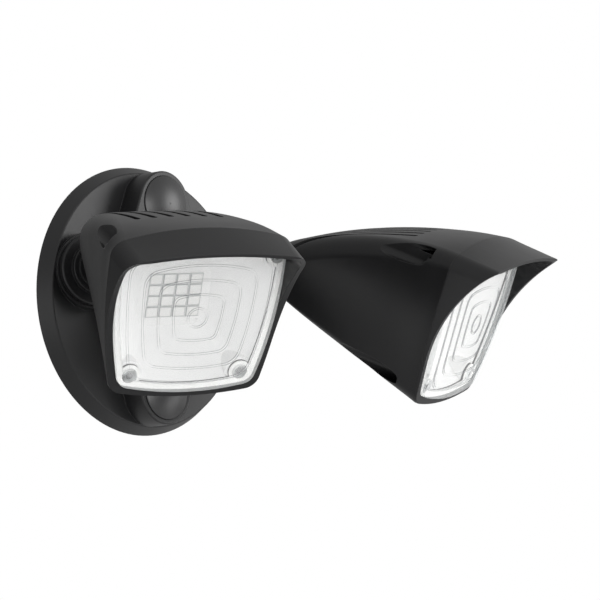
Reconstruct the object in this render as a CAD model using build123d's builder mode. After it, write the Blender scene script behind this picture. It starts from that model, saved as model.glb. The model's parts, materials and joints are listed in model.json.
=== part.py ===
"""Twin-head wall security light: a round canopy, two swivelling arms and two hooded lamp heads.

The frame's origin is the centre of the canopy on the wall plane. +Z is up, the light faces -Y, and
+X is to the right for someone who looks at the light. Sizes are in millimetres.
"""

import os
from math import copysign, cos, radians, sin, sqrt

from build123d import *

os.makedirs("parts", exist_ok=True)

# Canopy, the round plate on the wall
box_screw_spacing = 88.9
rim_beyond_screws = 19.05
rim_slope = 3.5
canopy_depth = 7.5
canopy_wall = 2.5
canopy_edge_round = 0.8
hub_height = 12.2
hub_end_radius = 15.5
hub_middle_radius = 30.0
hub_edge_round = 0.8

# Screw caps in the ends of the hub
cap_radius = 13.1
cap_clearance = 0.15
cap_recess = 2.2
cap_edge = 0.4
cap_crown = 3.2
cap_floor = 2.0

# Screws, crossbar and gasket behind the canopy
screw_radius = 2.0
screw_clearance = 0.3
thread_clearance = 0.05
screw_head_radius = 3.9
screw_head_height = 2.6
screw_tip_gap = 0.8
well_radius = 4.6
well_wall = 1.6
well_floor = 2.5
crossbar_width = 20.0
crossbar_thickness = 2.0
crossbar_overhang = 7.0
crossbar_wall_gap = 1.6
crossbar_gap = 0.3
box_slot_inset = 9.525
box_slot_width = 4.8
box_slot_length = 9.0
wire_hole_radius = 6.0
ground_screw_offset = 14.0
gasket_width = 5.0
gasket_clearance = 0.2

# Driver inside the hub
driver_width = 34.0
driver_height = 40.0
driver_depth = 12.0
driver_edge_round = 2.0

# Arms: where their seats are on the canopy, and how far from there the tilt pins are
seat_inset = 21.7
seat_forward = 15.54
seat_up = 9.7
arm_splay = 21.6
arm_reach = 39.0
boss_radius = 18.0
boss_wall = 4.0
boss_bore_radius = 13.5
seal_thickness = 1.0
seal_radius = 15.5
running_gap = 0.1
flange_radius = 17.0
flange_thickness = 3.2
flange_edge_round = 1.0
collar_radius = 12.3
collar_length = 3.0
neck_radius = 9.8
neck_length = 1.2
spigot_radius = 6.0
spigot_clearance = 0.06
spigot_overhang = 1.2
arm_bore_radius = 4.2
arm_bore_stop = 26.0
wire_way_radius = 1.4
wire_way_up = 4.6
tongue_thickness = 10.0
eye_radius = 9.0
tongue_half_height = 6.5
tongue_clearance = 0.5
washer_thickness = 1.0
washer_radius = 11.0
locknut_radius = 9.0
locknut_thickness = 5.0

# Tilt pin of each head
pin_radius = 2.5
pin_clearance = 0.06
ear_thickness = 3.0
ear_gap = 0.7
ear_half_length = 14.0
tilt_washer_thickness = 0.6
tilt_washer_radius = 8.0
bolt_head_radius = 4.6
bolt_head_height = 3.0
tilt_nut_height = 3.0
bolt_overhang = 0.6
eye_clearance = 0.6

# How the heads stand at rest, and how far they tilt below level
left_swivel = 4.4
right_swivel = 12.0
left_tilt = 32.4
right_tilt = 24.6
lowest_tilt = 70.0

# Head: the outline of its front, then how the housing tapers from there to its tail
head_crease = 84.4
head_tail = 18.0
front_top_half = 43.0
front_bottom_half = 35.2
front_top = 53.6
front_crown = 6.5
front_bottom = 28.1
front_belly = 3.3
front_bulge_width = 2.5
top_corner_radius = 8.0
bottom_corner_radius = 7.5
tail_rounding = 8.0
upper_round_limit = 0.45
lower_round_limit = 0.3
tail_top = 6.0
tail_depth = 6.2
tail_top_share = 0.5
tail_bottom_share = 0.3
tail_bulge_width = 3.0
tail_roundness = 9.0
back_curve = 1.2
back_power = 0.68
housing_wall = 2.4
cavity_tail_gap = 4.0
station_shares = (0.01, 0.045, 0.105, 0.2, 0.32, 0.45, 0.59, 0.73, 0.87, 1.0)
vent_count = 6
vent_pitch = 8.0
vent_width = 2.8
vent_depth = 1.6
vent_start = -2.3
vent_end = 56.7

# Screws that hold the lens and the visor to the housing
top_screw_inset = 6.4
top_screw_drop = 14.4
bottom_screw_inset = 8.7
bottom_screw_rise = 10.9
post_radius = 5.2
post_length = 42.0
pocket_radius = 3.6
pocket_length = 48.0
pocket_floor = 11.0
pocket_spread = 4.0
lens_screw_radius = 1.6
lens_screw_head_radius = 3.1
lens_screw_head_height = 2.2

# Visor, lens and what stands behind the lens
visor_length = 21.6
visor_wall = 3.2
visor_tip_wall = 1.4
visor_crown_drop = 3.1
visor_flange = 0.9
visor_border = 6.4
visor_lip = 1.5
visor_arc_start = -3.6
lens_gasket_thickness = 0.4
lens_seat_gap = 0.06
lens_thickness = 1.6
lens_clearance = 0.2
lens_boss_radius = 3.2
lens_boss_clearance = 0.3
lens_boss_depth = 5.0
lens_dome = 3.0
lens_bend_radius = 430.0
lens_centre_up = 12.6
lens_ring_largest = 0.8
lens_ring_step = 0.172
lens_ring_width = 0.9
lens_ring_height = 0.5
lens_ring_count = 4
lens_eye_radius = 5.0
ring_corner_radius = 12.0
reflector_wall = 1.2
led_plane = 61.7
led_centre_up = 10.4
led_window_width = 34.0
led_window_height = 30.0
led_rows = 4
led_pitch_across = 6.5
led_pitch_up = 5.4
led_width = 5.2
led_height = 4.2
led_thickness = 0.7
board_margin = 6.0
board_thickness = 1.6
sink_margin = 1.0
sink_plate = 3.0
sink_fin_length = 11.0
sink_fin_count = 7
sink_fin_thickness = 1.6

canopy_radius = box_screw_spacing / 2 + rim_beyond_screws
canopy_face_radius = canopy_radius - rim_slope
seat_out = canopy_radius - seat_inset
box_slot_spacing = box_screw_spacing - 2 * box_slot_inset
hub_front = canopy_depth + hub_height
screw_heights = (box_screw_spacing / 2, -box_screw_spacing / 2)
crossbar_back = crossbar_wall_gap
crossbar_front = crossbar_back + crossbar_thickness
post_foot = crossbar_front + crossbar_gap
well_bottom = post_foot + well_floor
head_length = head_crease + head_tail
visor_tip = head_crease + visor_length
lens_back = head_crease + visor_flange + lens_gasket_thickness + lens_seat_gap
lens_front = lens_back + lens_thickness
lens_crown_drop = visor_crown_drop * (lens_front - head_crease) / visor_length
ear_inside = tongue_thickness / 2 + ear_gap
ear_outside = ear_inside + ear_thickness
slot_length = head_tail + 2 * eye_radius
top_screw_out = front_top_half - top_screw_inset
top_screw_up = front_top - top_screw_drop
bottom_screw_out = front_bottom_half - bottom_screw_inset
bottom_screw_down = front_bottom - bottom_screw_rise
screw_posts = (
    (top_screw_out, top_screw_up),
    (-top_screw_out, top_screw_up),
    (bottom_screw_out, -bottom_screw_down),
    (-bottom_screw_out, -bottom_screw_down),
)


def ahead(distance):
    """Plane square to the light's facing direction, at a distance in front of the origin."""
    return Plane.XZ.offset(distance)


def arm_plane(side, swivel):
    """Plane at a tilt pin: x along the pin, y back along the arm, z up."""
    splay = radians(side * arm_splay)
    turn = radians(swivel)
    seat = Vector(side * seat_out, -seat_forward, seat_up)
    outward = Vector(sin(splay), -cos(splay), 0)
    pin = Vector(cos(splay) * cos(turn), sin(splay) * cos(turn), sin(turn))
    rise = Vector(-cos(splay) * sin(turn), -sin(splay) * sin(turn), cos(turn))
    return Plane(origin=seat + outward * arm_reach, x_dir=pin, z_dir=rise)


def seat_plane(side):
    """Plane of the canopy's arm seat, facing out along the arm."""
    level = arm_plane(side, 0)
    return Plane(
        origin=level.origin + level.y_dir * arm_reach,
        x_dir=level.x_dir,
        z_dir=-level.y_dir,
    )


def hub_outline(inset):
    """The hub seen from the front: two round ends and a wider round middle, drawn together."""
    with BuildSketch(mode=Mode.PRIVATE) as outline:
        with Locations(*[(0, height) for height in screw_heights]):
            Circle(hub_end_radius - inset)
        Circle(hub_middle_radius - inset)
        make_hull()
    return outline.sketch


def make_canopy():
    with BuildPart() as canopy:
        with BuildSketch(ahead(0)):
            Circle(canopy_radius)
        with BuildSketch(ahead(canopy_depth)):
            Circle(canopy_face_radius)
        loft()
        fillet(canopy.edges().group_by(Axis.Y)[0], canopy_edge_round)
        with BuildSketch(ahead(0)):
            add(hub_outline(0))
        extrude(amount=hub_front)
        fillet(canopy.faces().sort_by(Axis.Y)[0].edges(), hub_edge_round)
        for side in (-1, 1):
            with BuildSketch(seat_plane(side)):
                Circle(boss_radius)
            extrude(amount=-(arm_reach + boss_radius))
        split(bisect_by=ahead(0), keep=Keep.TOP)
        with BuildSketch(ahead(0)):
            Circle(canopy_face_radius - canopy_wall)
        extrude(amount=canopy_depth - canopy_wall, mode=Mode.SUBTRACT)
        with BuildSketch(ahead(0)):
            add(hub_outline(canopy_wall))
        extrude(amount=hub_front - canopy_wall, mode=Mode.SUBTRACT)
        for side in (-1, 1):
            with BuildSketch(seat_plane(side).offset(-boss_wall)):
                Circle(boss_bore_radius)
            extrude(amount=-(arm_reach + boss_radius), mode=Mode.SUBTRACT)
            with BuildSketch(seat_plane(side)):
                Circle(spigot_radius + spigot_clearance)
            extrude(amount=-boss_wall, mode=Mode.SUBTRACT)
        with BuildSketch(ahead(hub_front - cap_recess - cap_floor)):
            with Locations(*[(0, height) for height in screw_heights]):
                Circle(hub_end_radius - canopy_wall / 2)
        extrude(amount=cap_floor)
        with BuildSketch(ahead(post_foot)):
            with Locations(*[(0, height) for height in screw_heights]):
                Circle(well_radius + well_wall)
        extrude(amount=hub_front - cap_recess - post_foot)
        with BuildSketch(ahead(hub_front - cap_recess)):
            with Locations(*[(0, height) for height in screw_heights]):
                Circle(cap_radius + cap_clearance)
        extrude(amount=cap_recess, mode=Mode.SUBTRACT)
        with BuildSketch(ahead(well_bottom)):
            with Locations(*[(0, height) for height in screw_heights]):
                Circle(well_radius)
        extrude(amount=hub_front - well_bottom, mode=Mode.SUBTRACT)
        with BuildSketch(ahead(0)):
            with Locations(*[(0, height) for height in screw_heights]):
                Circle(screw_radius + screw_clearance)
        extrude(amount=well_bottom, mode=Mode.SUBTRACT)
    return canopy.part


def make_screw_cap(height):
    """Domed cover that snaps into the hub's recess over one wall screw."""
    back = -(hub_front - cap_recess)
    rim = -(hub_front + cap_edge)
    crown = rim - cap_crown
    bend = (cap_radius**2 + cap_crown**2) / (2 * cap_crown)
    half = cap_radius / 2
    half_rise = rim - (sqrt(bend**2 - half**2) - (bend - cap_crown))
    with BuildPart() as cap:
        with BuildSketch(Plane.XY.offset(height)):
            with BuildLine():
                Line((0, back), (cap_radius, back))
                Line((cap_radius, back), (cap_radius, rim))
                ThreePointArc((cap_radius, rim), (half, half_rise), (0, crown))
                Line((0, crown), (0, back))
            make_face()
        revolve(axis=Axis((0, 0, height), (0, 1, 0)))
    return cap.part


def make_mounting_screws():
    with BuildPart() as screws:
        for height in screw_heights:
            with BuildSketch(ahead(well_bottom)):
                with Locations((0, height)):
                    Circle(screw_head_radius)
            extrude(amount=screw_head_height)
            with BuildSketch(ahead(screw_tip_gap)):
                with Locations((0, height)):
                    Circle(screw_radius)
            extrude(amount=well_bottom - screw_tip_gap)
        with BuildSketch(ahead(well_bottom + screw_head_height)):
            with Locations(*[(0, height) for height in screw_heights]):
                Rectangle(screw_head_radius, screw_radius / 2)
                Rectangle(screw_radius / 2, screw_head_radius)
        extrude(amount=-screw_head_height / 2, mode=Mode.SUBTRACT)
    return screws.part


def make_crossbar():
    """Steel bar that the wall box carries, tapped for the canopy's screws."""
    with BuildPart() as crossbar:
        with BuildSketch(ahead(crossbar_back)):
            RectangleRounded(crossbar_width, box_screw_spacing + 2 * crossbar_overhang, crossbar_overhang)
        extrude(amount=crossbar_thickness)
        with BuildSketch(ahead(crossbar_back)):
            with Locations(*[(0, height) for height in screw_heights]):
                Circle(screw_radius + thread_clearance)
            with Locations((0, box_slot_spacing / 2), (0, -box_slot_spacing / 2)):
                SlotOverall(box_slot_length, box_slot_width, rotation=90)
            with Locations((0, ground_screw_offset)):
                Circle(screw_radius + thread_clearance)
            Circle(wire_hole_radius)
        extrude(amount=crossbar_thickness, mode=Mode.SUBTRACT)
    return crossbar.part


def make_ground_screw():
    """Bonding screw on the back of the crossbar."""
    with BuildPart() as screw:
        with BuildSketch(ahead(crossbar_back)):
            with Locations((0, ground_screw_offset)):
                Circle(screw_radius)
        extrude(amount=crossbar_thickness)
        with BuildSketch(ahead(crossbar_back)):
            with Locations((0, ground_screw_offset)):
                RegularPolygon(screw_head_radius, 6)
        extrude(amount=-(crossbar_wall_gap - screw_tip_gap))
    return screw.part


def make_wall_gasket():
    outer = canopy_face_radius - canopy_wall - gasket_clearance
    with BuildPart() as gasket:
        with BuildSketch(ahead(0)):
            Circle(outer)
            Circle(outer - gasket_width, mode=Mode.SUBTRACT)
        extrude(amount=canopy_depth - canopy_wall)
    return gasket.part


def make_driver():
    """Sealed box with the mains driver, seated against the inside of the hub."""
    back = hub_front - canopy_wall - driver_depth
    with BuildPart() as driver:
        with BuildSketch(ahead(back)):
            RectangleRounded(driver_width, driver_height, driver_edge_round)
        extrude(amount=driver_depth)
        chamfer(driver.faces().sort_by(Axis.Y)[-1].edges(), driver_edge_round / 4)
    return driver.part


def make_swivel_arm():
    """Arm in its own frame: the tilt pin lies along x, and y runs back to the canopy's seat."""
    flange_back = arm_reach - seal_thickness - running_gap
    flange_front = flange_back - flange_thickness
    collar_front = flange_front - collar_length
    neck_front = collar_front - neck_length
    spigot_end = arm_reach + boss_wall + running_gap + washer_thickness + locknut_thickness + spigot_overhang
    steps = (
        (spigot_radius, flange_back, spigot_end),
        (flange_radius, flange_front, flange_back),
        (collar_radius, collar_front, flange_front),
        (neck_radius, neck_front, collar_front),
    )
    with BuildPart() as arm:
        for radius, near, far in steps:
            with BuildSketch(ahead(-far)):
                Circle(radius)
            extrude(amount=far - near)
        rim = arm.edges().filter_by(GeomType.CIRCLE).filter_by(lambda e: abs(e.radius - flange_radius) < 0.01)
        fillet(rim.sort_by(Axis.Y)[0], flange_edge_round)
        lip = arm.edges().filter_by(GeomType.CIRCLE).filter_by(lambda e: abs(e.radius - collar_radius) < 0.01)
        fillet(lip.sort_by(Axis.Y)[0], flange_edge_round / 2)
        with BuildSketch(Plane.YZ):
            Circle(eye_radius)
            with Locations((neck_front / 2, 0)):
                Rectangle(neck_front, 2 * tongue_half_height)
        extrude(amount=tongue_thickness / 2, both=True)
        with BuildSketch(Plane.YZ):
            Circle(pin_radius + pin_clearance)
        extrude(amount=tongue_thickness, both=True, mode=Mode.SUBTRACT)
        with BuildSketch(ahead(-spigot_end)):
            Circle(arm_bore_radius)
        extrude(amount=spigot_end - arm_bore_stop, mode=Mode.SUBTRACT)
        with BuildSketch(ahead(-arm_bore_stop - arm_bore_radius)):
            with Locations((0, wire_way_up)):
                Circle(wire_way_radius)
        extrude(amount=arm_bore_stop + arm_bore_radius + eye_radius, mode=Mode.SUBTRACT)
    return arm.part


def make_ring(inner, outer, near, far):
    """Flat ring about the arm's own axis, between two distances behind the tilt pin."""
    with BuildPart() as ring:
        with BuildSketch(ahead(-far)):
            Circle(outer)
            Circle(inner, mode=Mode.SUBTRACT)
        extrude(amount=far - near)
    return ring.part


def make_locknut():
    near = arm_reach + boss_wall + running_gap + washer_thickness
    with BuildPart() as locknut:
        with BuildSketch(ahead(-near - locknut_thickness)):
            RegularPolygon(locknut_radius, 6, major_radius=False)
            Circle(spigot_radius + thread_clearance, mode=Mode.SUBTRACT)
        extrude(amount=locknut_thickness)
    return locknut.part


def bowed_outline(top_half, bottom_half, top, crown, bottom, belly, bulge, upper_round, lower_round):
    """Rounded outline with bowed edges: wide at the top, narrower at the bottom."""
    corner_top = top - crown
    corner_bottom = belly - bottom
    middle = (corner_top + corner_bottom) / 2
    side_height = corner_top - corner_bottom
    side = (top_half + bottom_half) / 2 + bulge
    with BuildSketch(mode=Mode.PRIVATE) as outline:
        with BuildLine():
            ThreePointArc((-top_half, corner_top), (0, top), (top_half, corner_top))
            ThreePointArc((top_half, corner_top), (side, middle), (bottom_half, corner_bottom))
            ThreePointArc((bottom_half, corner_bottom), (0, -bottom), (-bottom_half, corner_bottom))
            ThreePointArc((-bottom_half, corner_bottom), (-side, middle), (-top_half, corner_top))
        make_face()
        fillet(outline.vertices().sort_by(Axis.Y)[2:], min(upper_round, upper_round_limit * side_height))
        fillet(outline.vertices().sort_by(Axis.Y)[:2], min(lower_round, lower_round_limit * side_height))
    return outline.sketch


def housing_outline(forward, inset):
    """Cross section of the housing at a distance in front of the tilt pin."""
    along = (forward + head_tail) / head_length
    closing = sqrt(1 - (1 - along) ** tail_roundness)
    share = tail_top_share * closing + (1 - tail_top_share) * along
    lower_share = tail_bottom_share * closing + (1 - tail_bottom_share) * along
    rise = (1 - (1 - along) ** back_curve) ** back_power
    depth = tail_depth * closing + (front_bottom - tail_depth) * along
    return bowed_outline(
        front_top_half * share - inset,
        front_bottom_half * lower_share - inset,
        tail_top + (front_top - tail_top) * rise - inset,
        front_crown * share * along**2,
        depth - inset,
        front_belly * share,
        front_bulge_width * share + tail_bulge_width * closing * (1 - along),
        (top_corner_radius + tail_rounding * (1 - along)) * sqrt(share) - inset / 2,
        bottom_corner_radius * sqrt(lower_share) - inset / 2,
    )


def front_outline(inset, crown_drop=0.0):
    """The head's front outline, drawn in by an inset and with its crown lowered."""
    return bowed_outline(
        front_top_half - inset,
        front_bottom_half - inset,
        front_top - crown_drop - inset,
        front_crown - crown_drop,
        front_bottom - inset,
        front_belly,
        front_bulge_width,
        top_corner_radius - inset / 2,
        bottom_corner_radius - inset / 2,
    )


def ring_outline(size, inset):
    """A smaller copy of the front outline about the lens's centre, drawn in by an inset."""
    return bowed_outline(
        front_top_half * size - inset,
        front_bottom_half * size - inset,
        lens_centre_up + (front_top - lens_centre_up) * size - inset,
        front_crown * size,
        (front_bottom + lens_centre_up) * size - lens_centre_up - inset,
        front_belly * size,
        front_bulge_width * size,
        ring_corner_radius * size - inset / 2,
        ring_corner_radius * size - inset / 2,
    )


def housing_stations(first):
    """Distances in front of the tilt pin of the housing's cross sections, from the tail forward."""
    stations = [share * head_length - head_tail for share in station_shares]
    return [first] + [station for station in stations if station > first + housing_wall]


def housing_loft(first, inset):
    """Solid through the housing's cross sections, from a first distance forward to the crease."""
    with BuildPart(mode=Mode.PRIVATE) as body:
        for forward in housing_stations(first):
            with BuildSketch(ahead(forward)):
                add(housing_outline(forward, inset))
        loft()
    return body.part


def make_housing():
    """Tapered shell with screw posts, cooling grooves on top and a clevis in its tail."""
    cavity_end = cavity_tail_gap - head_tail
    body = housing_loft(station_shares[0] * head_length - head_tail, 0)
    inside = housing_loft(cavity_end, housing_wall)
    groove_floor = housing_loft(cavity_end, vent_depth)
    with BuildPart() as cavity:
        add(inside)
        with BuildSketch(ahead(head_crease)):
            with Locations(*screw_posts):
                Circle(post_radius)
        extrude(amount=-post_length, mode=Mode.SUBTRACT)
        for side in (-1, 1):
            with BuildSketch(Plane.YZ.offset(side * (ear_inside + ear_thickness / 2))):
                Rectangle(2 * ear_half_length, 4 * front_top)
            extrude(amount=ear_thickness / 2, both=True, mode=Mode.SUBTRACT)
    with BuildPart() as grooves:
        with BuildSketch(Plane.XY):
            with Locations((0, -(vent_start + vent_end) / 2)):
                with GridLocations(vent_pitch, 0, vent_count, 1):
                    SlotOverall(vent_end - vent_start, vent_width, rotation=90)
        extrude(amount=2 * front_top)
        add(groove_floor, mode=Mode.SUBTRACT)
    with BuildPart() as housing:
        add(body)
        add(cavity.part, mode=Mode.SUBTRACT)
        add(grooves.part, mode=Mode.SUBTRACT)
        with BuildSketch(Plane.YZ):
            Circle(eye_radius + eye_clearance)
            for swing in (0, -lowest_tilt):
                Rectangle(
                    slot_length,
                    2 * (tongue_half_height + tongue_clearance),
                    rotation=swing,
                    align=(Align.MIN, Align.CENTER),
                )
            with BuildLine():
                sweep = CenterArc((0, 0), slot_length, 0, -lowest_tilt)
                Line((0, 0), sweep @ 0)
                Line(sweep @ 1, (0, 0))
            make_face()
        extrude(amount=ear_inside, both=True, mode=Mode.SUBTRACT)
        with BuildSketch(Plane.YZ):
            Circle(pin_radius + thread_clearance)
        extrude(amount=ear_outside, both=True, mode=Mode.SUBTRACT)
        with BuildSketch(ahead(head_crease - pocket_floor)):
            for across, up in screw_posts:
                if up > 0:
                    with Locations((across, up + pocket_spread / 2)):
                        SlotCenterToCenter(pocket_spread, 2 * pocket_radius, rotation=90)
                else:
                    with Locations((across + copysign(pocket_spread / 2, across), up)):
                        SlotCenterToCenter(pocket_spread, 2 * pocket_radius)
        extrude(amount=-pocket_length, mode=Mode.SUBTRACT)
        with BuildSketch(ahead(head_crease)):
            with Locations(*screw_posts):
                Circle(lens_screw_radius + thread_clearance)
        extrude(amount=-pocket_floor, mode=Mode.SUBTRACT)
        with BuildSketch(ahead(head_crease)):
            with Locations(*screw_posts):
                Circle(lens_boss_radius + lens_boss_clearance)
        extrude(amount=-(lens_boss_depth + lens_boss_clearance), mode=Mode.SUBTRACT)
    return housing.part


def mouth_outline():
    """The front frame's opening: drawn in from the outline, and round the lug of each screw."""
    with BuildSketch(mode=Mode.PRIVATE) as mouth:
        add(front_outline(visor_border))
        with Locations(*screw_posts):
            Circle(post_radius, mode=Mode.SUBTRACT)
    return mouth.sketch


def make_visor():
    """Hood and front frame: a straight rim that a concave arc cuts back from the top to the bottom."""
    lip = head_crease + visor_lip
    corner_up = front_top - front_crown
    with BuildPart() as opening:
        with BuildSketch(ahead(head_crease + visor_flange)):
            add(front_outline(visor_wall))
        with BuildSketch(ahead(visor_tip)):
            add(front_outline(visor_tip_wall, visor_crown_drop))
        loft()
    with BuildPart() as visor:
        with BuildSketch(ahead(head_crease)):
            add(front_outline(0))
        with BuildSketch(ahead(visor_tip)):
            add(front_outline(0, visor_crown_drop))
        loft()
        add(opening.part, mode=Mode.SUBTRACT)
        with BuildSketch(ahead(head_crease)):
            add(mouth_outline())
            with Locations(*screw_posts):
                Circle(lens_boss_radius + lens_boss_clearance)
        extrude(amount=visor_flange, mode=Mode.SUBTRACT)
        with BuildSketch(Plane.YZ):
            with BuildLine():
                Line((-lip, -2 * front_bottom), (-lip, visor_arc_start))
                TangentArc((-lip, visor_arc_start), (-visor_tip, corner_up), tangent=(0, 1))
                Line((-visor_tip, corner_up), (-2 * visor_tip, corner_up))
                Line((-2 * visor_tip, corner_up), (-2 * visor_tip, -2 * front_bottom))
                Line((-2 * visor_tip, -2 * front_bottom), (-lip, -2 * front_bottom))
            make_face()
        extrude(amount=2 * front_top_half, both=True, mode=Mode.SUBTRACT)
    return visor.part


def lens_ball(radius):
    """Ball whose front bulges like the lens, for cutting its faces."""
    with BuildPart(Plane.XZ, mode=Mode.PRIVATE) as ball:
        with Locations((0, lens_centre_up, lens_front + lens_dome - lens_bend_radius)):
            Sphere(radius)
    return ball.part


def make_lens():
    """Clear domed pane with raised rings, a flat rim and a screw boss behind each corner."""
    front_ball = lens_ball(lens_bend_radius)
    ring_ball = lens_ball(lens_bend_radius + lens_ring_height)
    back_ball = lens_ball(lens_bend_radius - lens_thickness)
    with BuildPart() as rings:
        with BuildSketch(ahead(lens_front)):
            for ring in range(lens_ring_count):
                size = lens_ring_largest - ring * lens_ring_step
                add(ring_outline(size, 0))
                add(ring_outline(size, lens_ring_width), mode=Mode.SUBTRACT)
            with Locations((0, lens_centre_up)):
                Circle(lens_eye_radius)
                Circle(lens_eye_radius - lens_ring_width, mode=Mode.SUBTRACT)
        extrude(amount=2 * lens_dome)
        add(ring_ball, mode=Mode.INTERSECT)
    with BuildPart() as hollow:
        with BuildSketch(ahead(lens_back)):
            add(front_outline(visor_border, lens_crown_drop))
        extrude(amount=lens_dome)
        add(back_ball, mode=Mode.INTERSECT)
    with BuildPart() as lens:
        with BuildSketch(ahead(lens_back)):
            add(front_outline(visor_wall + lens_clearance, lens_crown_drop))
        extrude(amount=lens_thickness + lens_dome)
        add(front_ball, mode=Mode.INTERSECT)
        add(rings.part)
        add(hollow.part, mode=Mode.SUBTRACT)
        with BuildSketch(ahead(head_crease - lens_boss_depth)):
            with Locations(*screw_posts):
                Circle(lens_boss_radius)
        extrude(amount=lens_front - head_crease + lens_boss_depth - lens_ring_height)
        with BuildSketch(ahead(head_crease - lens_boss_depth)):
            with Locations(*screw_posts):
                Circle(lens_screw_radius + thread_clearance)
        extrude(amount=lens_back - head_crease + lens_boss_depth, mode=Mode.SUBTRACT)
    return lens.part


def make_lens_gasket():
    with BuildPart() as gasket:
        with BuildSketch(ahead(head_crease + visor_flange)):
            add(front_outline(visor_wall + lens_clearance, lens_crown_drop))
            add(mouth_outline(), mode=Mode.SUBTRACT)
            with Locations(*screw_posts):
                Circle(lens_boss_radius + lens_boss_clearance, mode=Mode.SUBTRACT)
        extrude(amount=lens_gasket_thickness)
    return gasket.part


def make_reflector():
    """Open dish from the front frame back to a window round the light source, sleeved round the posts."""
    mouth_inset = visor_border - reflector_wall
    post_hole = post_radius + lens_clearance
    with BuildPart() as hollow:
        with BuildSketch(ahead(head_crease)):
            add(front_outline(visor_border))
        with BuildSketch(ahead(led_plane)):
            with Locations((0, led_centre_up)):
                RectangleRounded(led_window_width, led_window_height, bottom_corner_radius)
        loft()
    with BuildPart() as sleeves:
        with BuildSketch(ahead(head_crease)):
            with Locations(*screw_posts):
                Circle(post_hole + reflector_wall)
        extrude(amount=-post_length)
        add(hollow.part, mode=Mode.INTERSECT)
    with BuildPart() as reflector:
        with BuildSketch(ahead(head_crease)):
            add(front_outline(mouth_inset))
        with BuildSketch(ahead(led_plane)):
            with Locations((0, led_centre_up)):
                RectangleRounded(
                    led_window_width + 2 * reflector_wall,
                    led_window_height + 2 * reflector_wall,
                    bottom_corner_radius + reflector_wall,
                )
        loft()
        add(hollow.part, mode=Mode.SUBTRACT)
        add(sleeves.part)
        with BuildSketch(ahead(head_crease)):
            with Locations(*screw_posts):
                Circle(post_hole)
        extrude(amount=-post_length, mode=Mode.SUBTRACT)
    return reflector.part


def make_led_board():
    with BuildPart() as board:
        with BuildSketch(ahead(led_plane)):
            with Locations((0, led_centre_up)):
                RectangleRounded(
                    led_window_width + 2 * board_margin,
                    led_window_height + 2 * board_margin,
                    board_margin / 2,
                )
        extrude(amount=-board_thickness)
    return board.part


def make_led_chips():
    with BuildPart() as chips:
        with BuildSketch(ahead(led_plane)):
            with Locations((0, led_centre_up)):
                with GridLocations(led_pitch_across, led_pitch_up, led_rows, led_rows):
                    Rectangle(led_width, led_height)
        extrude(amount=led_thickness)
    return chips.part


def make_heat_sink():
    """Plate behind the light source, with upright fins on its back."""
    width = led_window_width + 2 * (board_margin + sink_margin)
    height = led_window_height + 2 * (board_margin + sink_margin)
    front = led_plane - board_thickness
    fin_pitch = (width - sink_fin_thickness) / (sink_fin_count - 1)
    with BuildPart() as sink:
        with BuildSketch(ahead(front)):
            with Locations((0, led_centre_up)):
                RectangleRounded(width, height, sink_margin)
        extrude(amount=-sink_plate)
        with BuildSketch(ahead(front - sink_plate)):
            with Locations((0, led_centre_up)):
                with GridLocations(fin_pitch, 0, sink_fin_count, 1):
                    Rectangle(sink_fin_thickness, height - 2 * sink_margin)
        extrude(amount=-sink_fin_length)
    return sink.part


def make_housing_screws():
    """Four screws that reach forward from the housing's pockets into the lens's bosses."""
    seat = head_crease - pocket_floor
    with BuildPart() as screws:
        with BuildSketch(ahead(seat)):
            with Locations(*screw_posts):
                Circle(lens_screw_head_radius)
        extrude(amount=-lens_screw_head_height)
        with BuildSketch(ahead(seat)):
            with Locations(*screw_posts):
                Circle(lens_screw_radius)
        extrude(amount=lens_back - seat - lens_clearance)
        with BuildSketch(ahead(seat - lens_screw_head_height)):
            with Locations(*screw_posts):
                Rectangle(lens_screw_head_radius, lens_screw_radius / 2)
                Rectangle(lens_screw_radius / 2, lens_screw_head_radius)
        extrude(amount=lens_screw_head_height / 2, mode=Mode.SUBTRACT)
    return screws.part


def make_tilt_bolt():
    with BuildPart() as bolt:
        with BuildSketch(Plane.YZ.offset(ear_outside)):
            RegularPolygon(bolt_head_radius, 6)
        extrude(amount=bolt_head_height)
        with BuildSketch(Plane.YZ.offset(ear_outside)):
            Circle(pin_radius)
        extrude(amount=-(2 * ear_outside + tilt_nut_height + bolt_overhang))
    return bolt.part


def make_tilt_nut():
    with BuildPart() as nut:
        with BuildSketch(Plane.YZ.offset(-ear_outside)):
            RegularPolygon(bolt_head_radius, 6)
            Circle(pin_radius + thread_clearance, mode=Mode.SUBTRACT)
        extrude(amount=-tilt_nut_height)
    return nut.part


def make_tilt_washers():
    """Two friction washers, one each side of the arm's eye."""
    slack = (ear_gap - tilt_washer_thickness) / 2
    with BuildPart() as washers:
        for side in (-1, 1):
            with BuildSketch(Plane.YZ.offset(side * (tongue_thickness / 2 + slack))):
                Circle(tilt_washer_radius)
                Circle(pin_radius + pin_clearance, mode=Mode.SUBTRACT)
            extrude(amount=side * tilt_washer_thickness)
    return washers.part


def write(piece, name):
    """Name a finished piece and write it to its own file."""
    piece.label = name
    export_step(piece, f"parts/{name}.step")


write(make_canopy(), "canopy_cover")
write(make_screw_cap(screw_heights[0]), "top_screw_cap")
write(make_screw_cap(screw_heights[1]), "bottom_screw_cap")
write(make_mounting_screws(), "mounting_screws")
write(make_crossbar(), "mounting_crossbar")
write(make_ground_screw(), "ground_screw")
write(make_wall_gasket(), "wall_gasket")
write(make_driver(), "led_driver")

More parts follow.
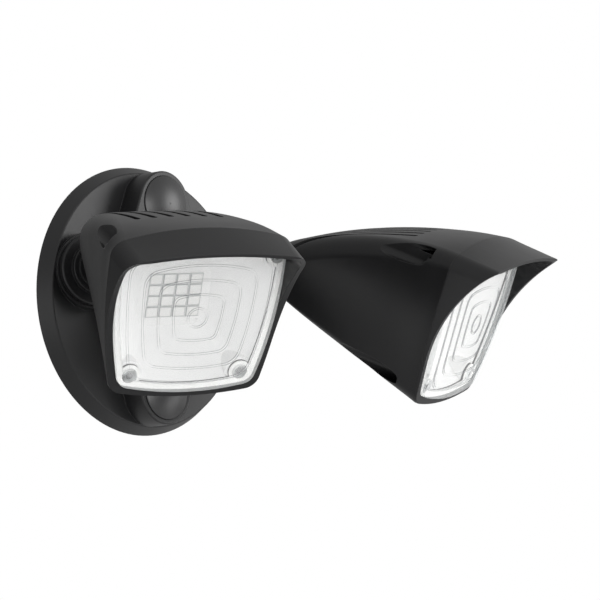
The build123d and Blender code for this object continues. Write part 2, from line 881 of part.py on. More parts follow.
arm_pieces = {
    "swivel_arm": make_swivel_arm(),
    "arm_washer": make_ring(
        spigot_radius + thread_clearance,
        washer_radius,
        arm_reach + boss_wall + running_gap,
        arm_reach + boss_wall + running_gap + washer_thickness,
    ),
    "arm_locknut": make_locknut(),
    "arm_seal": make_ring(
        spigot_radius + spigot_clearance,
        seal_radius,
        arm_reach - seal_thickness,
        arm_reach,
    ),
}
head_pieces = {
    "housing": make_housing(),
    "visor": make_visor(),
    "lens": make_lens(),
    "lens_gasket": make_lens_gasket(),
    "reflector": make_reflector(),
    "led_board": make_led_board(),
    "led_chips": make_led_chips(),
    "heat_sink": make_heat_sink(),
    "housing_screws": make_housing_screws(),
    "tilt_bolt": make_tilt_bolt(),
    "tilt_nut": make_tilt_nut(),
    "tilt_washers": make_tilt_washers(),
}
sides = (
    ("left", -1, left_swivel, left_tilt),
    ("right", 1, right_swivel, right_tilt),
)
for side_name, side, swivel, tilt in sides:
    arm_place = arm_plane(side, swivel).location
    head_place = arm_place * Rotation(tilt, 0, 0)
    for name, piece in arm_pieces.items():
        write(piece.moved(arm_place), f"{side_name}_{name}")
    for name, piece in head_pieces.items():
        write(piece.moved(head_place), f"{side_name}_{name}")
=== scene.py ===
# %% [markdown]
# # A twin-head security light
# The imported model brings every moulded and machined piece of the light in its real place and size, in
# metres. This script gives each piece its finish, adds the small frames of the light source, and then
# sets up a plain studio round it.

# %% Load the frame
import json
import math

import bmesh
import bpy
from mathutils import Matrix, Vector


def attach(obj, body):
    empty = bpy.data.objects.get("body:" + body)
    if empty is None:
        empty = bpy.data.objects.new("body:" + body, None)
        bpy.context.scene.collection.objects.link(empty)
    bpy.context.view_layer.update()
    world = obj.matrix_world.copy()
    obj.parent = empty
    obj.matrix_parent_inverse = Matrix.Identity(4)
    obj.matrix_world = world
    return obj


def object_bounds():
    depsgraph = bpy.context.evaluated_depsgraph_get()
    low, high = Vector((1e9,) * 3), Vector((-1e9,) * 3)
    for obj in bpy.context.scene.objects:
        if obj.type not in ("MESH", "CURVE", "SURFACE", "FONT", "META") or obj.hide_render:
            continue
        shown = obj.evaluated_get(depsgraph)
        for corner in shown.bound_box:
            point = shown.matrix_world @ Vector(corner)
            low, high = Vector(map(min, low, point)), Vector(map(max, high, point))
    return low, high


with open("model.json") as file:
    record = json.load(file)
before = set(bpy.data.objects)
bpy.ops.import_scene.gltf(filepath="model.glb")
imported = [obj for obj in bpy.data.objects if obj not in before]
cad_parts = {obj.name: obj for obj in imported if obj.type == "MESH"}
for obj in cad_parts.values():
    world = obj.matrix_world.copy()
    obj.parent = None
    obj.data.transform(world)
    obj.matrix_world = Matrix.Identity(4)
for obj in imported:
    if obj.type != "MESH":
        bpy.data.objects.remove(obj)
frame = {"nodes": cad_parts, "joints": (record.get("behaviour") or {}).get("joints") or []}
cad_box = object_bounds()
nodes = frame["nodes"]
joints = {joint["name"]: joint for joint in frame["joints"]}
MM = 0.001
size_mm = [round(side / MM, 1) for side in cad_box[1] - cad_box[0]]
print(len(nodes), "pieces of the light, size in mm:", size_mm)

# %% [markdown]
# ## Helpers
# Colours are written as the hex values that a colour picker shows. Blender mixes light in linear values,
# so one function turns hex into linear. Another adds a node with its settings and its links, because a
# finish is only a handful of nodes and the links are easier to read beside the values.
#
# A pattern's size is easier to judge in millimetres. The noise texture's features are about one unit
# apart at a scale of one, so a grain of so many millimetres needs a scale of one over that many metres.
#
# The mix node has the sockets for numbers and for colours in one list under the same names, so they are
# reached by their place in that list.

# %% Colours, nodes and pattern scales
NUMBER_A, NUMBER_B, MIXED_NUMBER = 2, 3, 0
COLOUR_A, COLOUR_B, MIXED_COLOUR = 6, 7, 2


def linear(hex_colour):
    """A hex colour such as "1c1c1d" as linear red, green, blue and alpha."""
    channels = [int(hex_colour[place:place + 2], 16) / 255 for place in (0, 2, 4)]
    return [c / 12.92 if c <= 0.04045 else ((c + 0.055) / 1.055) ** 2.4 for c in channels] + [1.0]


def add_node(material, kind, settings=None, inputs=None):
    """Adds one node. An input is a plain value, or another node's output, which is linked to it."""
    made = material.node_tree.nodes.new(kind)
    for name, value in (settings or {}).items():
        setattr(made, name, value)
    for name, value in (inputs or {}).items():
        if isinstance(value, bpy.types.NodeSocket):
            material.node_tree.links.new(value, made.inputs[name])
        else:
            made.inputs[name].default_value = value
    return made


def scale_for(millimetres):
    """The texture scale whose features are this many millimetres apart."""
    return 1 / (millimetres * MM)


def new_material(name):
    """An empty node material, with the place of each point on the resting light as its coordinates."""
    material = bpy.data.materials.new(name)
    material.use_nodes = True
    material.node_tree.nodes.clear()
    place = add_node(material, "ShaderNodeTexCoord").outputs["Object"]
    return material, place


def finish_material(material, surface):
    """Links the finished surface shader to the material's output."""
    add_node(material, "ShaderNodeOutputMaterial", inputs={"Surface": surface.outputs["BSDF"]})
    return material


def dress(material, *names):
    """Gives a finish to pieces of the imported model."""
    for name in names:
        slots = nodes[name].data.materials
        slots.clear()
        slots.append(material)
    print(material.name, "on", len(names), "pieces")


def both(*names):
    """The left and the right piece of each name."""
    return [f"{side}_{name}" for side in ("left", "right") for name in names]


print("a grain of 2 mm needs a texture scale of", round(scale_for(2)))

# %% [markdown]
# ## Smooth shading
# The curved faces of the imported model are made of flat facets. Shading them smooth, but not across sharp
# edges, hides the facets and keeps the edges crisp. Only the normals change, so every point stays where
# the model has it.

# %% Shade the curved faces smooth
SHARP_EDGE = math.radians(28)
for piece in nodes.values():
    for other in bpy.context.selected_objects:
        other.select_set(False)
    bpy.context.view_layer.objects.active = piece
    piece.select_set(True)
    bpy.ops.object.shade_smooth_by_angle(angle=SHARP_EDGE, keep_sharp_edges=True)
print("smooth shading up to", round(math.degrees(SHARP_EDGE)), "degrees")

# %% [markdown]
# ## Black powder coat on die-cast aluminium
# The canopy, the arms, the housings and the hoods are aluminium castings with a baked black powder coat.
# The coat flows a little as it cures, which leaves a faint orange peel about a millimetre across and a
# satin sheen, a little duller on the large canopy. Where it rounds over an edge it is thin, and its colour
# is painted slightly paler there, partly as wear and partly as a painted highlight. The edges of the model
# are sharp, so a bevelled normal stands in for that small rounding and catches the light as the real edge
# does.

# %% Black powder coat
CLOUD_SIZE = 14  # mm between thicker and thinner places of the coat
PEEL_SIZE, PEEL_HEIGHT = 1.1, 0.02  # mm
EDGE_ROUNDING = 0.45  # mm
BEVEL_SAMPLES = 6
EDGE_COSINE = 0.82  # between the bevelled and the real normal, where the edge's colour is full
GLOSS_SPREAD = 0.04


def powder_coat(name, dark, light, edge_wear_and_highlight, roughness, shine):
    """A black coat between two shades, with a third on its edges for wear and a painted highlight."""
    material, place = new_material(name)
    cloud = add_node(material, "ShaderNodeTexNoise", inputs={
        "Vector": place, "Scale": scale_for(CLOUD_SIZE), "Detail": 3.0}).outputs["Fac"]
    peel = add_node(material, "ShaderNodeTexNoise", inputs={
        "Vector": place, "Scale": scale_for(PEEL_SIZE), "Detail": 1.0}).outputs["Fac"]
    rounded = add_node(material, "ShaderNodeBevel", {"samples": BEVEL_SAMPLES}, {
        "Radius": EDGE_ROUNDING * MM}).outputs["Normal"]
    flat = add_node(material, "ShaderNodeNewGeometry").outputs["Normal"]
    along = add_node(material, "ShaderNodeVectorMath", {"operation": "DOT_PRODUCT"}, {
        0: rounded, 1: flat}).outputs["Value"]
    edge = add_node(material, "ShaderNodeMapRange", inputs={
        "Value": along, "From Min": 1.0, "From Max": EDGE_COSINE}).outputs["Result"]
    body = add_node(material, "ShaderNodeMix", {"data_type": "RGBA"}, {
        "Factor": cloud, COLOUR_A: linear(dark), COLOUR_B: linear(light)}).outputs[MIXED_COLOUR]
    # The paler edge colour is partly wear and partly a painted highlight.
    colour = add_node(material, "ShaderNodeMix", {"data_type": "RGBA"}, {
        "Factor": edge, COLOUR_A: body, COLOUR_B: linear(edge_wear_and_highlight)}).outputs[MIXED_COLOUR]
    gloss = add_node(material, "ShaderNodeMapRange", inputs={
        "Value": cloud, "To Min": roughness - GLOSS_SPREAD,
        "To Max": roughness + GLOSS_SPREAD}).outputs["Result"]
    bumped = add_node(material, "ShaderNodeBump", inputs={
        "Strength": 0.25, "Distance": PEEL_HEIGHT * MM, "Height": peel,
        "Normal": rounded}).outputs["Normal"]
    surface = add_node(material, "ShaderNodeBsdfPrincipled", inputs={
        "Base Color": colour, "Roughness": gloss, "IOR": 1.5, "Specular IOR Level": shine,
        "Normal": bumped})
    return finish_material(material, surface)


black_coat = powder_coat("black_powder_coat_on_die_cast_aluminium",
                         "131314", "181819", "232324", roughness=0.35, shine=0.28)
dress(black_coat, *both("swivel_arm", "housing", "visor"))
matt_coat = powder_coat("matt_black_powder_coat_on_die_cast_aluminium",
                        "151516", "1a1a1b", "262627", roughness=0.42, shine=0.36)
dress(matt_coat, "canopy_cover")

# %% [markdown]
# ## Moulded black ABS
# The two screw caps are small ABS mouldings from a smooth tool, so they have no orange peel, and their
# only texture is the slight waviness of a thick moulding. Noise in the bump gives that waviness. The top
# of a dome is where many narrow facets meet, and a bevelled normal evens out the shading there. The other
# moulded pieces use the same function without it.

# %% Screw caps
MOULDED_GLOSS_SPREAD = 0.05


def moulded_plastic(name, dark, light, roughness, wave, wave_height, rounding=None):
    """A moulded finish. The waves' spacing and height and the rounding are in millimetres."""
    material, place = new_material(name)
    sink = add_node(material, "ShaderNodeTexNoise", inputs={
        "Vector": place, "Scale": scale_for(wave), "Detail": 2.0}).outputs["Fac"]
    colour = add_node(material, "ShaderNodeMix", {"data_type": "RGBA"}, {
        "Factor": sink, COLOUR_A: linear(dark), COLOUR_B: linear(light)}).outputs[MIXED_COLOUR]
    gloss = add_node(material, "ShaderNodeMapRange", inputs={
        "Value": sink, "To Min": roughness - MOULDED_GLOSS_SPREAD,
        "To Max": roughness + MOULDED_GLOSS_SPREAD}).outputs["Result"]
    relief = {"Strength": 0.3, "Distance": wave_height * MM, "Height": sink}
    if rounding:
        relief["Normal"] = add_node(material, "ShaderNodeBevel", {"samples": BEVEL_SAMPLES}, {
            "Radius": rounding * MM}).outputs["Normal"]
    bumped = add_node(material, "ShaderNodeBump", inputs=relief).outputs["Normal"]
    surface = add_node(material, "ShaderNodeBsdfPrincipled", inputs={
        "Base Color": colour, "Roughness": gloss, "IOR": 1.53, "Normal": bumped})
    return finish_material(material, surface)


cap_abs = moulded_plastic("moulded_black_abs", "121213", "171718",
                          roughness=0.36, wave=6, wave_height=0.02, rounding=0.6)
dress(cap_abs, "top_screw_cap", "bottom_screw_cap")

# %% [markdown]
# The driver inside the hub sits in a case of grey ABS from an etched tool. It never shows while the light
# is whole, so it needs no more than a duller finish with a finer texture.

# %% Driver case
driver_abs = moulded_plastic("moulded_grey_abs", "8d8f8f", "9c9e9d",
                             roughness=0.55, wave=1.2, wave_height=0.05)
dress(driver_abs, "led_driver")

# %% [markdown]
# ## Foam and silicone
# The wall gasket is closed-cell foam, and its pores show as small pits. A cell texture gives round pits
# that touch, which noise can't, and the pits are painted darker towards their middles as painted shade.
# Real pores are finer, and are drawn a millimetre apart so that they show.

# %% Wall gasket
PORE_SIZE, PORE_DEPTH = 1.0, 0.2  # mm
material, place = new_material("black_closed_cell_foam")
pores = add_node(material, "ShaderNodeTexVoronoi", inputs={
    "Vector": place, "Scale": scale_for(PORE_SIZE)}).outputs["Distance"]
# The pits are painted darker in their middles: painted shade down in them.
colour = add_node(material, "ShaderNodeMix", {"data_type": "RGBA"}, {
    "Factor": pores, COLOUR_A: linear("121212"), COLOUR_B: linear("262626")}).outputs[MIXED_COLOUR]
bumped = add_node(material, "ShaderNodeBump", inputs={
    "Strength": 0.6, "Distance": PORE_DEPTH * MM, "Height": pores}).outputs["Normal"]
foam = finish_material(material, add_node(material, "ShaderNodeBsdfPrincipled", inputs={
    "Base Color": colour, "Roughness": 0.9, "Normal": bumped}))
dress(foam, "wall_gasket")

# %% [markdown]
# The seals of the arms and of the lenses are smooth silicone, which is soft and matt and holds a little
# dust. Patches of a second shade stand for the dust.

# %% Silicone seals
DUST_PATCH, DUST_HEIGHT = 3, 0.03  # mm


def silicone(name, clean, dusty):
    """Smooth matt silicone between a clean and a dusty shade."""
    material, place = new_material(name)
    dust = add_node(material, "ShaderNodeTexNoise", inputs={
        "Vector": place, "Scale": scale_for(DUST_PATCH), "Detail": 4.0}).outputs["Fac"]
    colour = add_node(material, "ShaderNodeMix", {"data_type": "RGBA"}, {
        "Factor": dust, COLOUR_A: linear(clean), COLOUR_B: linear(dusty)}).outputs[MIXED_COLOUR]
    bumped = add_node(material, "ShaderNodeBump", inputs={
        "Strength": 0.2, "Distance": DUST_HEIGHT * MM, "Height": dust}).outputs["Normal"]
    surface = add_node(material, "ShaderNodeBsdfPrincipled", inputs={
        "Base Color": colour, "Roughness": 0.6, "IOR": 1.41, "Normal": bumped})
    return finish_material(material, surface)


dress(silicone("black_moulded_silicone", "151515", "1f1f1f"), *both("arm_seal"))
dress(silicone("white_moulded_silicone", "f1f1ef", "e4e4e2"), *both("lens_gasket"))

# %% [markdown]
# ## Plated steel
# The crossbar, the mounting screws, the tilt bolts and nuts, and the washers and locknuts of the arms are
# zinc-plated steel: a bright grey metal with the fine lines of the rolled or turned steel still under the
# plating, and faint cloudy patches. The housing screws are black oxide, and the ground screw is green as
# ground screws are. Noise that is stretched along one direction gives the lines. Real ones are finer, and
# are drawn half a millimetre apart so that they show.

# %% Plated steel
LINE_SIZE, LINE_HEIGHT = 0.5, 0.02  # mm
LINE_STRETCH = (1.0, 1.0, 0.06)
PLATING_CLOUD = 7  # mm


def plated_steel(name, dark, light):
    """Lined steel under plating that is cloudy between two shades."""
    material, place = new_material(name)
    stretched = add_node(material, "ShaderNodeMapping", inputs={
        "Vector": place, "Scale": LINE_STRETCH}).outputs["Vector"]
    lines = add_node(material, "ShaderNodeTexNoise", inputs={
        "Vector": stretched, "Scale": scale_for(LINE_SIZE), "Detail": 2.0}).outputs["Fac"]
    clouds = add_node(material, "ShaderNodeTexNoise", inputs={
        "Vector": place, "Scale": scale_for(PLATING_CLOUD), "Detail": 3.0}).outputs["Fac"]
    colour = add_node(material, "ShaderNodeMix", {"data_type": "RGBA"}, {
        "Factor": clouds, COLOUR_A: linear(dark), COLOUR_B: linear(light)}).outputs[MIXED_COLOUR]
    gloss = add_node(material, "ShaderNodeMapRange", inputs={
        "Value": lines, "To Min": 0.26, "To Max": 0.42}).outputs["Result"]
    bumped = add_node(material, "ShaderNodeBump", inputs={
        "Strength": 0.2, "Distance": LINE_HEIGHT * MM, "Height": lines}).outputs["Normal"]
    surface = add_node(material, "ShaderNodeBsdfPrincipled", inputs={
        "Base Color": colour, "Metallic": 1.0, "Roughness": gloss, "Normal": bumped})
    return finish_material(material, surface)


zinc = plated_steel("zinc_plated_rolled_steel", "a9adb0", "c6c9cb")
dress(zinc, "mounting_crossbar", "mounting_screws",
      *both("arm_washer", "arm_locknut", "tilt_bolt", "tilt_nut"))
dress(plated_steel("black_oxide_steel", "232324", "2c2c2d"), *both("housing_screws"))
dress(plated_steel("green_plated_steel", "2f7a45", "3d8f52"), "ground_screw")

# %% [markdown]
# ## Extruded aluminium and natural nylon
# The heat sink is a length of bare extrusion, so fine die lines run along its fins. They are drawn
# coarser than real ones, as on the steel. The friction washers in the tilt joint are natural nylon, which
# is off-white and slightly waxy.

# %% Heat sink and friction washers
DIE_LINE_SIZE = 0.6  # mm
DIE_LINE_STRETCH = (1.0, 1.0, 0.05)
material, place = new_material("bare_extruded_aluminium")
drawn = add_node(material, "ShaderNodeMapping", inputs={
    "Vector": place, "Scale": DIE_LINE_STRETCH}).outputs["Vector"]
die_lines = add_node(material, "ShaderNodeTexNoise", inputs={
    "Vector": drawn, "Scale": scale_for(DIE_LINE_SIZE), "Detail": 2.0}).outputs["Fac"]
colour = add_node(material, "ShaderNodeMix", {"data_type": "RGBA"}, {
    "Factor": die_lines, COLOUR_A: linear("b4b6b8"), COLOUR_B: linear("cfd1d2")}).outputs[MIXED_COLOUR]
gloss = add_node(material, "ShaderNodeMapRange", inputs={
    "Value": die_lines, "To Min": 0.34, "To Max": 0.5}).outputs["Result"]
extrusion = finish_material(material, add_node(material, "ShaderNodeBsdfPrincipled", inputs={
    "Base Color": colour, "Metallic": 1.0, "Roughness": gloss}))
dress(extrusion, *both("heat_sink"))
nylon = moulded_plastic("natural_moulded_nylon", "d8d4c8", "e4e1d6",
                        roughness=0.5, wave=2, wave_height=0.03)
dress(nylon, *both("tilt_washers"))

# %% [markdown]
# ## Where each head stands
# The lens and the light source are worked on in a head's own directions: across, behind and above its
# tilt pin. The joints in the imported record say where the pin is, which way the arm points and how far the
# head is tilted down at rest, so the directions come from there and not from numbers typed in twice.

# %% Head frames
def head_frame(side):
    """Matrix from millimetres across, behind and above the tilt pin to the resting light."""
    tilt_joint, swivel_joint = joints[f"{side}_head_tilt"], joints[f"{side}_arm_swivel"]
    pin = Vector(tilt_joint["axis"]).normalized()
    back = -Vector(swivel_joint["axis"]).normalized()
    rise = pin.cross(back)
    tilt = math.radians(-tilt_joint["range_deg"][0])
    behind = back * math.cos(tilt) + rise * math.sin(tilt)
    above = rise * math.cos(tilt) - back * math.sin(tilt)
    turn = Matrix((pin, behind, above)).transposed().to_4x4()
    return Matrix.Translation(tilt_joint["pos_m"]) @ turn @ Matrix.Scale(MM, 4)


head_frames = {side: head_frame(side) for side in ("left", "right")}
facing = {side: -(placed.to_3x3() @ Vector((0, 1, 0))).normalized()
          for side, placed in head_frames.items()}
for side, direction in facing.items():
    print(side, "head faces", [round(part, 3) for part in direction])

# %% [markdown]
# ## Clear polycarbonate lens
# The lens is one clear moulding with raised rings that spread the light. The pane lets most light
# straight through and the moulded surface adds a thin haze. The flanks of the rings stand nearly edge on
# to the eye and bend the light that passes them, so they read as fine grey lines. That grey is painted
# shade: the flanks are given a grey colour and made less clear. A flank is found by how far its normal
# turns away from the way the lens faces. The normal is read in the piece's own directions, so the lines
# stay put when the head moves.

# %% Lens
HAZE_SIZE = 9  # mm between thicker and thinner places of the haze
PANE_OPACITY = (0.11, 0.14)
FLANK_OPACITY = 0.6
FLANK_COSINES = (0.985, 0.75)  # where a flank starts, and where it is full


def clear_lens(side):
    """The clear finish of one head's lens."""
    material, place = new_material(f"clear_moulded_polycarbonate_{side}")
    normal = add_node(material, "ShaderNodeTexCoord").outputs["Normal"]
    along = add_node(material, "ShaderNodeVectorMath", {"operation": "DOT_PRODUCT"}, {
        0: normal, 1: facing[side]}).outputs["Value"]
    square = add_node(material, "ShaderNodeMath", {"operation": "ABSOLUTE"}, {0: along}).outputs["Value"]
    flank = add_node(material, "ShaderNodeMapRange", inputs={
        "Value": square, "From Min": FLANK_COSINES[0], "From Max": FLANK_COSINES[1]}).outputs["Result"]
    haze = add_node(material, "ShaderNodeTexNoise", inputs={
        "Vector": place, "Scale": scale_for(HAZE_SIZE), "Detail": 2.0}).outputs["Fac"]
    # The flanks' grey is painted shade for the lines that their bending of the light makes.
    colour = add_node(material, "ShaderNodeMix", {"data_type": "RGBA"}, {
        "Factor": flank, COLOUR_A: linear("f6f7f7"), COLOUR_B: linear("8a8e90")}).outputs[MIXED_COLOUR]
    pane = add_node(material, "ShaderNodeMapRange", inputs={
        "Value": haze, "To Min": PANE_OPACITY[0], "To Max": PANE_OPACITY[1]}).outputs["Result"]
    opacity = add_node(material, "ShaderNodeMix", {"data_type": "FLOAT"}, {
        "Factor": flank, NUMBER_A: pane, NUMBER_B: FLANK_OPACITY}).outputs[MIXED_NUMBER]
    surface = add_node(material, "ShaderNodeBsdfPrincipled", inputs={
        "Base Color": colour, "Roughness": 0.12, "IOR": 1.58, "Alpha": opacity})
    return finish_material(material, surface)


for side in head_frames:
    dress(clear_lens(side), f"{side}_lens")

# %% [markdown]
# Behind each corner of the lens stands a screw boss. Its wall is thick and has the spark-eroded finish of
# the tool, so it looks frosted. The hole for the screw is painted a darker grey, as painted shade down in
# the hole. The outer edge of the pane is pale, because it gathers light from inside the lens. The faces of
# a boss lie behind the pane and close to the screw's axis, and those of the edge stand edge on behind the
# rings. So they are picked by where they are and how they stand, and take more materials on the same
# piece. Spark-eroded grit is finer than this, and is drawn coarse enough to show.

# %% Frosted bosses and edge of the lens
GRIT_SIZE = 0.7  # mm
PANE_BACK, EDGE_FRONT = 85.7, 88.2  # mm in front of the tilt pin
EDGE_ON = 0.5  # cosine to the way the lens faces, below which a face stands edge on
BOSS_RADIUS, HOLE_RADIUS = 3.3, 1.75  # mm
BOSS_AXES = ((36.6, 39.2), (-36.6, 39.2), (26.5, -17.2), (-26.5, -17.2))  # mm across and above
BOSS_SLOT, HOLE_SLOT, EDGE_SLOT = 1, 2, 3


def frosted(name, pale, dark, opacity):
    """A finely rough polycarbonate face, more or less clear."""
    material, place = new_material(name)
    grit = add_node(material, "ShaderNodeTexNoise", inputs={
        "Vector": place, "Scale": scale_for(GRIT_SIZE), "Detail": 2.0}).outputs["Fac"]
    colour = add_node(material, "ShaderNodeMix", {"data_type": "RGBA"}, {
        "Factor": grit, COLOUR_A: linear(dark), COLOUR_B: linear(pale)}).outputs[MIXED_COLOUR]
    surface = add_node(material, "ShaderNodeBsdfPrincipled", inputs={
        "Base Color": colour, "Roughness": 0.5, "IOR": 1.58, "Alpha": opacity})
    return finish_material(material, surface)


# In the order of the three slots, after the clear finish in the first slot.
lens_finishes = (frosted("frosted_moulded_polycarbonate", "fbfcfc", "f4f6f6", opacity=1.0),
                 # The darker grey of the screw holes is painted shade.
                 frosted("painted_shade_screw_hole_polycarbonate", "c2c5c6", "b2b6b8", opacity=0.9),
                 frosted("clear_moulded_polycarbonate_edge", "f2f4f4", "e8ebeb", opacity=0.4))
for side, placed in head_frames.items():
    mesh = nodes[f"{side}_lens"].data
    for finish in lens_finishes:
        mesh.materials.append(finish)
    to_head = placed.inverted()
    counts = {BOSS_SLOT: 0, HOLE_SLOT: 0, EDGE_SLOT: 0}
    for face in mesh.polygons:
        across, behind, above = to_head @ face.center
        axis_gap = min(math.hypot(across - x, above - z) for x, z in BOSS_AXES)
        if -behind < PANE_BACK and axis_gap < BOSS_RADIUS:
            face.material_index = BOSS_SLOT if axis_gap > HOLE_RADIUS else HOLE_SLOT
        elif -behind < EDGE_FRONT and abs(face.normal.dot(facing[side])) < EDGE_ON:
            face.material_index = EDGE_SLOT
        if face.material_index in counts:
            counts[face.material_index] += 1
    print(side, "lens has", counts[BOSS_SLOT], "boss,", counts[HOLE_SLOT], "hole and",
          counts[EDGE_SLOT], "edge faces")

# %% [markdown]
# ## White reflector, board and chips
# The reflector is a satin white moulding. The light source's board has white solder mask, which is a thin
# smooth coat, and each chip is a pad of cream phosphor, which is fine-grained and duller. All three are
# plain pale surfaces, so the moulded finish serves with other colours and waves.

# %% Reflector, board and chips
reflector_white = moulded_plastic("moulded_white_polycarbonate", "ececec", "f3f3f2",
                                  roughness=0.4, wave=5, wave_height=0.02)
dress(reflector_white, *both("reflector"))
solder_mask = moulded_plastic("white_solder_mask", "e4e4e3", "e9e9e8",
                              roughness=0.35, wave=1.5, wave_height=0.02)
dress(solder_mask, *both("led_board"))
phosphor = moulded_plastic("cream_phosphor", "dadad8", "e2e2df",
                           roughness=0.5, wave=0.8, wave_height=0.05)
dress(phosphor, *both("led_chips"))

# %% [markdown]
# Each chip sits in a small frame. The frames read as the grid that shows through the lens, and a line
# painted on the board would lie flat when the head is seen from the side. So they are made here as
# shapes: one ring of four walls round each pad, all sixteen in one piece that rides on its head. Their
# grey is painted shade, standing for the thin shadows along the edges of the chips.

# %% Frames of the chips
# All in millimetres: the board's face in front of the tilt pin, the middle of the chips above the pin,
# and the spacing and size of the chips across and above.
LED_PLANE = 61.7
LED_CENTRE_UP = 10.4
LED_PITCH = (6.5, 5.4)
LED_SIZE = (5.2, 4.2)
LED_ROWS = 4
FRAME_GAP = 0.05
FRAME_WIDTH = 0.3
FRAME_HEIGHT = 0.9
CORNERS = ((-1, -1), (1, -1), (1, 1), (-1, 1))


def chip_frames(side, material):
    """Sixteen square rings in one piece, standing on the board round the chips."""
    shape = bmesh.new()
    middle = (LED_ROWS - 1) / 2
    inside, outside = FRAME_GAP, FRAME_GAP + FRAME_WIDTH
    for chip in range(LED_ROWS ** 2):
        across = (chip % LED_ROWS - middle) * LED_PITCH[0]
        above = LED_CENTRE_UP + (chip // LED_ROWS - middle) * LED_PITCH[1]
        rings = []
        for grow, height in ((inside, 0), (inside, FRAME_HEIGHT), (outside, FRAME_HEIGHT), (outside, 0)):
            half_across, half_up = LED_SIZE[0] / 2 + grow, LED_SIZE[1] / 2 + grow
            rings.append([
                shape.verts.new((across + half_across * x, -LED_PLANE - height, above + half_up * z))
                for x, z in CORNERS])
        for ring, following in zip(rings, rings[1:] + rings[:1]):
            for corner in range(len(CORNERS)):
                beside = (corner + 1) % len(CORNERS)
                shape.faces.new((ring[corner], ring[beside], following[beside], following[corner]))
    bmesh.ops.recalc_face_normals(shape, faces=shape.faces)
    mesh = bpy.data.meshes.new(f"{side}_led_frames")
    shape.to_mesh(mesh)
    shape.free()
    mesh.transform(head_frames[side])
    mesh.materials.append(material)
    piece = bpy.data.objects.new(f"{side}_led_frames", mesh)
    bpy.context.scene.collection.objects.link(piece)
    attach(piece, f"{side}_head")
    return piece


# The frames' grey is painted shade for the shadows along the chips' edges.
chip_frame_painted_shade = moulded_plastic("grey_chip_frame_painted_shade", "b4b6b6", "bec0c0",
                             roughness=0.5, wave=0.9, wave_height=0.03)
for side in head_frames:
    piece = chip_frames(side, chip_frame_painted_shade)
    print(piece.name, "has", len(piece.data.polygons), "faces")

# %% [markdown]
# ## Studio
# The light hangs in a white studio, as in a catalogue picture. The floor is pale paper and lies well
# below, so its shadow stays soft.

# %% Floor
FLOOR_HEIGHT = -0.62  # m
FLOOR_SIZE = 14.0  # m
floor_mesh = bpy.data.meshes.new("studio_floor")
half = FLOOR_SIZE / 2
floor_mesh.from_pydata([(half * x, half * y, FLOOR_HEIGHT) for x, y in CORNERS], [], [(0, 1, 2, 3)])
floor = bpy.data.objects.new("studio_floor", floor_mesh)
bpy.context.scene.collection.objects.link(floor)
material, place = new_material("matt_white_paper")
paper = add_node(material, "ShaderNodeBsdfPrincipled", inputs={
    "Base Color": linear("f8f8f8"), "Roughness": 0.9})
floor_mesh.materials.append(finish_material(material, paper))
print("floor", -FLOOR_HEIGHT, "m below the middle of the light")

# %% [markdown]
# The world is white where the camera sees it, and dimmer as a light, so that the white background doesn't
# wash out the black coat. Reflections and the clear lenses see a studio that is white in front of the
# light and darker towards the wall, as a real one is behind the thing that is photographed.

# %% World
WORLD_LIGHT = 0.5
# How far round from the front to the wall, from 0 to 1, and how bright the studio is there.
IN_FRONT, BESIDE, AT_WALL = (0.2, 1.0), (0.8, 0.48), (1.0, 0.12)

world = bpy.data.worlds.new("white_studio")
bpy.context.scene.world = world
world.use_nodes = True
world.node_tree.nodes.clear()
ray = add_node(world, "ShaderNodeLightPath")
mirrored = add_node(world, "ShaderNodeMath", {"operation": "MAXIMUM"}, {
    0: ray.outputs["Is Glossy Ray"], 1: ray.outputs["Is Transmission Ray"]}).outputs["Value"]
seen = add_node(world, "ShaderNodeMath", {"operation": "MAXIMUM"}, {
    0: ray.outputs["Is Camera Ray"], 1: mirrored}).outputs["Value"]
front_to_back = add_node(world, "ShaderNodeSeparateXYZ", inputs={
    "Vector": add_node(world, "ShaderNodeTexCoord").outputs["Generated"]}).outputs["Y"]
way_round = add_node(world, "ShaderNodeMapRange", inputs={
    "Value": front_to_back, "From Min": -1.0, "From Max": 1.0}).outputs["Result"]
shade_ramp = add_node(world, "ShaderNodeValToRGB", inputs={"Fac": way_round})
stops = shade_ramp.color_ramp.elements
stops[0].position, stops[1].position = IN_FRONT[0], AT_WALL[0]
stops.new(BESIDE[0])
for stop, (_, shade) in zip(stops, (IN_FRONT, BESIDE, AT_WALL)):
    stop.color = [shade] * 3 + [1.0]
seen_strength = add_node(world, "ShaderNodeMix", {"data_type": "FLOAT"}, {
    "Factor": ray.outputs["Is Camera Ray"], NUMBER_A: shade_ramp.outputs["Color"],
    NUMBER_B: 1.0}).outputs[MIXED_NUMBER]
strength = add_node(world, "ShaderNodeMix", {"data_type": "FLOAT"}, {
    "Factor": seen, NUMBER_A: WORLD_LIGHT, NUMBER_B: seen_strength}).outputs[MIXED_NUMBER]
sky = add_node(world, "ShaderNodeBackground", inputs={"Color": linear("ffffff"), "Strength": strength})
add_node(world, "ShaderNodeOutputWorld", inputs={"Surface": sky.outputs["Background"]})
print("world shades at", [round(stop.position, 2) for stop in stops])

# %% [markdown]
# Large soft lamps do the rest. The one in front lights the lenses, the two on the right draw the long
# highlights on the right head, and the one on the left lifts the canopy's edge off the dark.

# %% Lamps
LAMP_TARGET = Vector((0.0, -0.08, 0.0))


def soft_lamp(name, place, size, power):
    """A round soft lamp, in metres and watts, that points at the light."""
    lamp = bpy.data.lights.new(name, "AREA")
    lamp.shape = "DISK"
    lamp.size = size
    lamp.energy = power
    holder = bpy.data.objects.new(name, lamp)
    holder.location = place
    holder.rotation_euler = (LAMP_TARGET - Vector(place)).to_track_quat("-Z", "Y").to_euler()
    bpy.context.scene.collection.objects.link(holder)
    print(name, "at", place, "gives", power, "W")


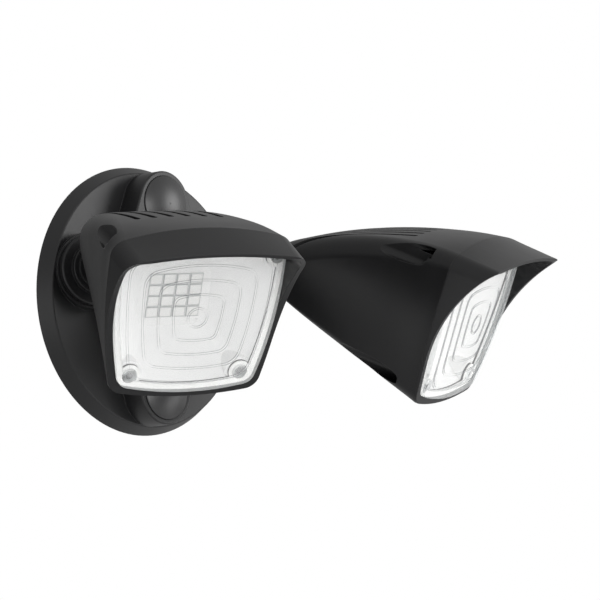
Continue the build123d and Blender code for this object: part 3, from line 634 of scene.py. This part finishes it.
soft_lamp("right_lamp", (1.32, -1.2, 0.25), size=1.1, power=14.5)
soft_lamp("low_right_lamp", (1.25, -1.35, -0.6), size=0.8, power=4)
soft_lamp("left_lamp", (-1.45, 0.2, -0.3), size=1.2, power=4.5)
soft_lamp("front_lamp", (-0.6, -2.4, -0.1), size=1.4, power=27)

# %% [markdown]
# ## Camera
# The photograph was taken from a little below and to the light's own right, with a long lens from well
# back, so the picture is almost without perspective. The camera's place is set by its angle round the
# light and its distance, and its aim is the point in the middle of the picture.

# %% Camera
CAMERA_AZIMUTH = math.radians(-42.74)
CAMERA_ELEVATION = math.radians(-7.72)
CAMERA_ROLL = math.radians(0.28)
CAMERA_DISTANCE = 2.5047  # m
PICTURE_WIDTH = 600  # pixels
FOCAL_PIXELS = 5312
ORIGIN_PIXEL = (137.2, 301.6)  # where the middle of the canopy's back lies in the picture
SENSOR_WIDTH = 36  # mm

towards = Vector((math.sin(CAMERA_AZIMUTH) * math.cos(CAMERA_ELEVATION),
                  -math.cos(CAMERA_AZIMUTH) * math.cos(CAMERA_ELEVATION), math.sin(CAMERA_ELEVATION)))
level = Vector((math.cos(CAMERA_AZIMUTH), math.sin(CAMERA_AZIMUTH), 0))
upright = level.cross(-towards)
right = level * math.cos(CAMERA_ROLL) - upright * math.sin(CAMERA_ROLL)
up = upright * math.cos(CAMERA_ROLL) + level * math.sin(CAMERA_ROLL)
per_pixel = CAMERA_DISTANCE / FOCAL_PIXELS
half_picture = PICTURE_WIDTH / 2
aim = (right * (half_picture - ORIGIN_PIXEL[0]) - up * (half_picture - ORIGIN_PIXEL[1])) * per_pixel
back = (towards * CAMERA_DISTANCE - aim).normalized()
right = (right - back * right.dot(back)).normalized()
up = back.cross(right)

lens = bpy.data.cameras.new("long_lens")
lens.sensor_width = SENSOR_WIDTH
lens.lens = SENSOR_WIDTH * FOCAL_PIXELS / PICTURE_WIDTH
lens.clip_start, lens.clip_end = 0.1, 50
camera = bpy.data.objects.new("camera", lens)
bpy.context.scene.collection.objects.link(camera)
turned_camera = Matrix((right, up, back)).transposed().to_4x4()
camera.matrix_world = Matrix.Translation(towards * CAMERA_DISTANCE) @ turned_camera
bpy.context.scene.camera = camera
bpy.context.scene.view_settings.view_transform = "Standard"
print("camera", round(CAMERA_DISTANCE, 2), "m away with a", round(lens.lens), "mm lens")
